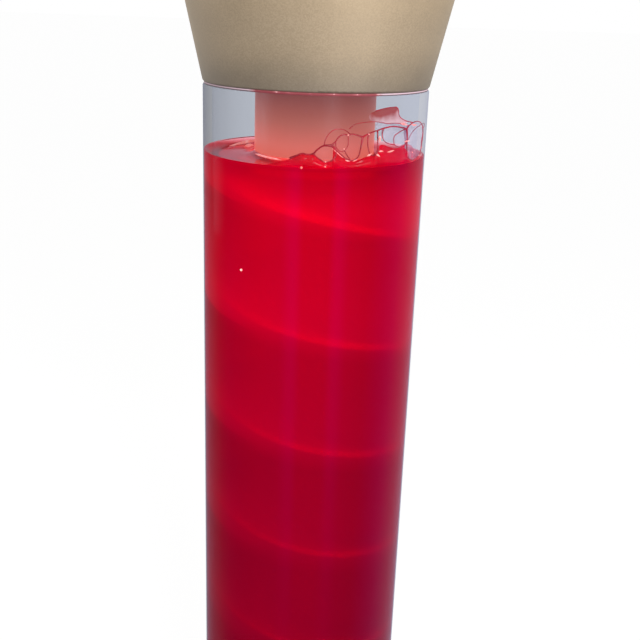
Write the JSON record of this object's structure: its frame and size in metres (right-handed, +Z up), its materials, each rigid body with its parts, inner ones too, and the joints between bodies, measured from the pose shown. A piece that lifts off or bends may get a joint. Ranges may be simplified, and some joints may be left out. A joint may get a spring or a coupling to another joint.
{
  "type": "motion lamp",
  "caption": "Free-standing motion lamp: a clear tube of red liquid between flared gold cones, with a lit opal well and a turning spiral ramp.",
  "frame": {"origin": "on the floor under the lamp's axis", "axes": "+Z up along the tube, -Y towards the front with the switch"},
  "size_m": [0.1558, 0.1558, 0.619],
  "materials": {
    "gold_paint": "satin champagne metallic paint with fine flake",
    "clear_acrylic": "clear, polished",
    "red_liquid": "clear red liquid, stands in as a solid",
    "opal_acrylic": "opal, lit from inside",
    "white_plastic": "moulded white",
    "nylon": "natural nylon",
    "black_plastic": "moulded black",
    "cream_plastic": "moulded cream",
    "black_rubber": "soft matt",
    "rim_silicone": "soft and translucent, lit pink by the tube",
    "zinc_steel": "zinc plated",
    "bright_chrome": "polished",
    "brass": "turned",
    "ferrite": "sintered",
    "ballast_iron": "as cast, painted",
    "frosted_glass": "frosted",
    "lead_sleeve": "insulated lead"
  },
  "bodies": {
    "stand": {"base_shell": "gold_paint", "head_shell": "gold_paint", "clear_tube": "clear_acrylic", "light_well": "opal_acrylic", "tank_floor": "white_plastic", "cord_inlet": "black_plastic", "inlet_nut": "black_plastic", "toggle_body": "black_plastic", "motor_cap": "black_plastic", "lamp_socket": "black_plastic", "terminal_block": "cream_plastic", "rubber_feet": "black_rubber", "floor_seal": "black_rubber", "seal_washers": "black_rubber", "tube_gasket": "rim_silicone", "bottom_cover": "zinc_steel", "cover_screws": "zinc_steel", "ballast_screws": "zinc_steel", "plate_pillars": "zinc_steel", "pillar_screws": "zinc_steel", "motor_plate": "zinc_steel", "motor_case": "zinc_steel", "motor_screws": "zinc_steel", "thrust_washer": "zinc_steel", "pipe_washer": "zinc_steel", "socket_bridge": "zinc_steel", "bridge_screws": "zinc_steel", "toggle_nut": "bright_chrome", "lamp_pipe": "brass", "pipe_nuts": "brass", "seal_nuts": "brass", "socket_sleeve": "brass", "socket_nut": "brass", "bulb_base": "brass", "ballast_ring": "ballast_iron", "bulb_glass": "frosted_glass", "lamp_leads": "lead_sleeve", "motor_leads": "lead_sleeve", "switch_leads": "lead_sleeve"},
    "spiral_rotor": {"rotor_hub": "white_plastic", "spiral_ramp": "white_plastic", "follower_magnet": "ferrite", "hub_bushes": "nylon", "red_liquid": "red_liquid"},
    "drive_wheel": {"drive_gear": "nylon", "drive_magnet": "ferrite", "gear_bush": "brass"},
    "pinion": {"drive_pinion": "nylon", "motor_shaft": "zinc_steel"},
    "toggle": {"toggle_lever": "bright_chrome"},
    "lid": {"head_lid": "gold_paint", "lid_knob": "brass", "knob_screw": "zinc_steel"}
  },
  "joints": [
    {"name": "rotor_spin", "type": "hinge", "parent": "stand", "child": "spiral_rotor", "pos_m": [0, 0, 0.3], "axis": [0, 0, 1], "continuous": true},
    {"name": "drive_wheel_spin", "type": "hinge", "parent": "stand", "child": "drive_wheel", "pos_m": [0, 0, 0.12], "axis": [0, 0, 1], "continuous": true},
    {"name": "pinion_spin", "type": "hinge", "parent": "stand", "child": "pinion", "pos_m": [0.032, 0, 0.115], "axis": [0, 0, 1], "continuous": true},
    {"name": "toggle_tilt", "type": "hinge", "parent": "stand", "child": "toggle", "pos_m": [0, -0.05998, 0.09244], "axis": [1, 0, 0], "range_deg": [0, 24]},
    {"name": "lid_lift", "type": "slide", "parent": "stand", "child": "lid", "axis": [0, 0, 1], "range_m": [0, 0.12]}
  ],
  "couplings": [
    {"joint": "drive_wheel_spin", "follows": "rotor_spin", "ratio": 1},
    {"joint": "pinion_spin", "follows": "rotor_spin", "ratio": -3}
  ]
}
